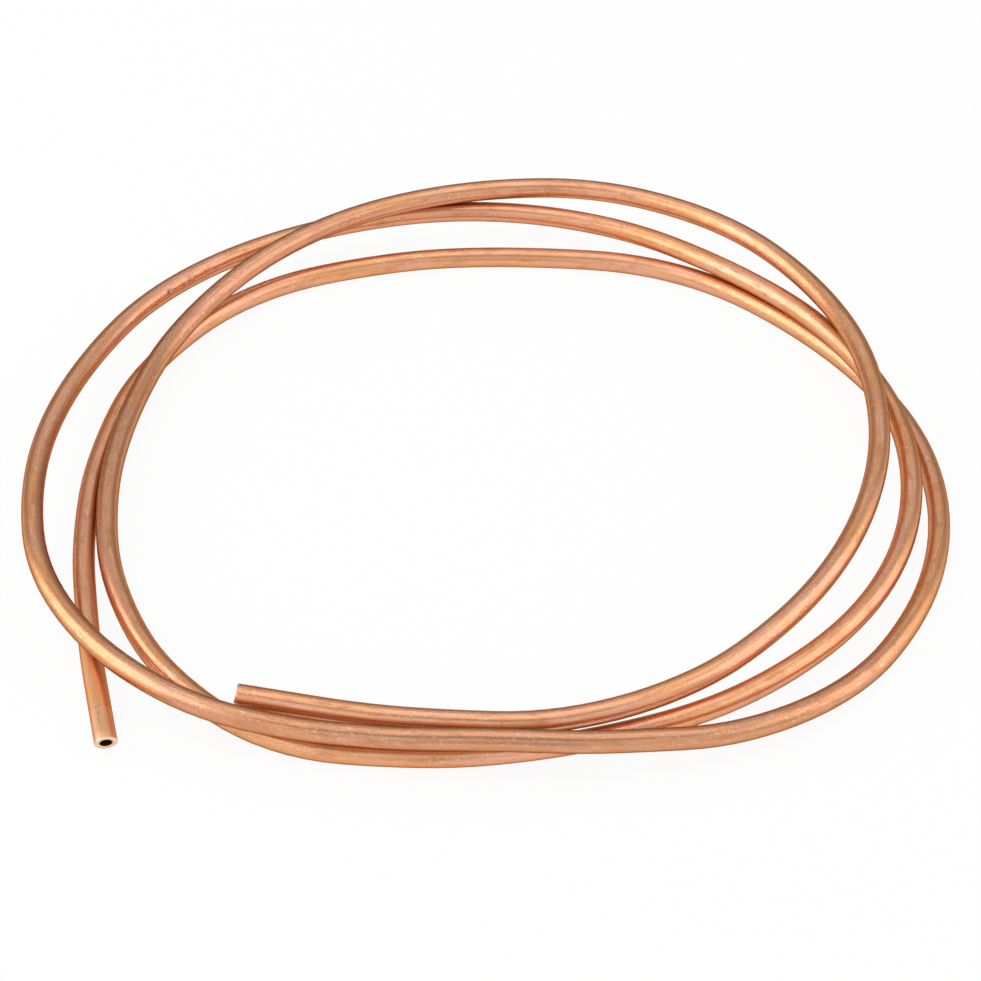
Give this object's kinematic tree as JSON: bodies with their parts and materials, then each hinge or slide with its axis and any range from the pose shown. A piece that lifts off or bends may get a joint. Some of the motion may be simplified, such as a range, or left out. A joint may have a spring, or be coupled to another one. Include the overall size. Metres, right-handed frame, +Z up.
{
  "type": "copper tube coil",
  "caption": "Loose coil of soft copper tube, its round turns crossing each other on the floor, with both ends cut off and open.",
  "frame": {"origin": "middle of the coil's outline, on the floor it lies on", "axes": "+Z up out of the coil, -Y towards the side where both cut ends lie, +X to the right seen from there"},
  "size_m": [0.2552, 0.2514, 0.019],
  "materials": {
    "copper": "satin bare copper with drawing marks"
  },
  "bodies": {
    "root": {"copper_tube": "copper"}
  },
  "joints": []
}
